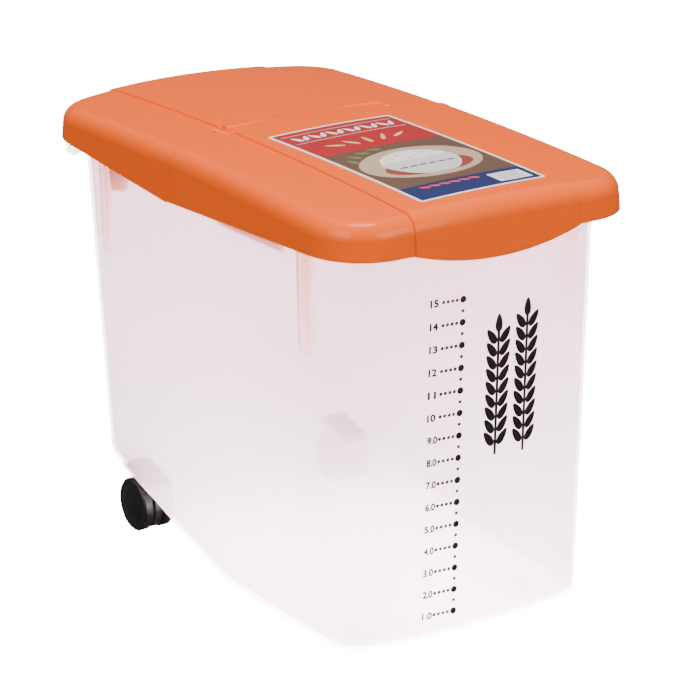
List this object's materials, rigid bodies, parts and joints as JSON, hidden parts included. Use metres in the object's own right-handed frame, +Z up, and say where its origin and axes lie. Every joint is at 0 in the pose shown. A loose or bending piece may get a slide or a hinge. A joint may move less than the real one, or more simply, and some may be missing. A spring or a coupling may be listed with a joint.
{
  "type": "rice bin with flip lid",
  "caption": "Tall translucent grain bin with a drafted tub, a sloped rear floor over fixed twin-wheel casters, a lift-off rear cover and a hinged flip lid with a curved pull lip.",
  "frame": {"origin": "on the floor, below the middle of the whole bin's box", "axes": "+Z up, -Y towards the front wall with the measuring scale and the pull lip, +X to the right as seen from the front"},
  "size_m": [0.2522, 0.4349, 0.3398],
  "materials": {
    "milky_polypropylene": "translucent, satin gloss",
    "orange_polypropylene": "satin gloss",
    "label_film": "printed gloss film",
    "black_nylon": "satin black",
    "axle_steel": "bright drawn wire"
  },
  "bodies": {
    "bin": {"container": "milky_polypropylene", "caster_housing_left": "black_nylon", "caster_axle_left": "axle_steel", "caster_housing_right": "black_nylon", "caster_axle_right": "axle_steel"},
    "cover": {"rear_cover": "orange_polypropylene"},
    "lid": {"flip_lid": "orange_polypropylene", "lid_label": "label_film"},
    "outer_wheel_left": {"outer_wheel_left": "black_nylon"},
    "inner_wheel_left": {"inner_wheel_left": "black_nylon"},
    "outer_wheel_right": {"outer_wheel_right": "black_nylon"},
    "inner_wheel_right": {"inner_wheel_right": "black_nylon"}
  },
  "joints": [
    {"name": "cover_lift_off", "type": "slide", "parent": "bin", "child": "cover", "axis": [0, 0, 1], "range_m": [0, 0.06]},
    {"name": "flip_lid_hinge", "type": "hinge", "parent": "cover", "child": "lid", "pos_m": [0, 0.0322, 0.33337], "axis": [-1, 0, 0], "range_deg": [0, 100]},
    {"name": "outer_wheel_left_spin", "type": "hinge", "parent": "bin", "child": "outer_wheel_left", "pos_m": [-0.1, 0.1187, 0.021], "axis": [1, 0, 0], "continuous": true},
    {"name": "inner_wheel_left_spin", "type": "hinge", "parent": "bin", "child": "inner_wheel_left", "pos_m": [-0.082, 0.1187, 0.021], "axis": [1, 0, 0], "continuous": true},
    {"name": "outer_wheel_right_spin", "type": "hinge", "parent": "bin", "child": "outer_wheel_right", "pos_m": [0.1, 0.1187, 0.021], "axis": [1, 0, 0], "continuous": true},
    {"name": "inner_wheel_right_spin", "type": "hinge", "parent": "bin", "child": "inner_wheel_right", "pos_m": [0.082, 0.1187, 0.021], "axis": [1, 0, 0], "continuous": true}
  ]
}
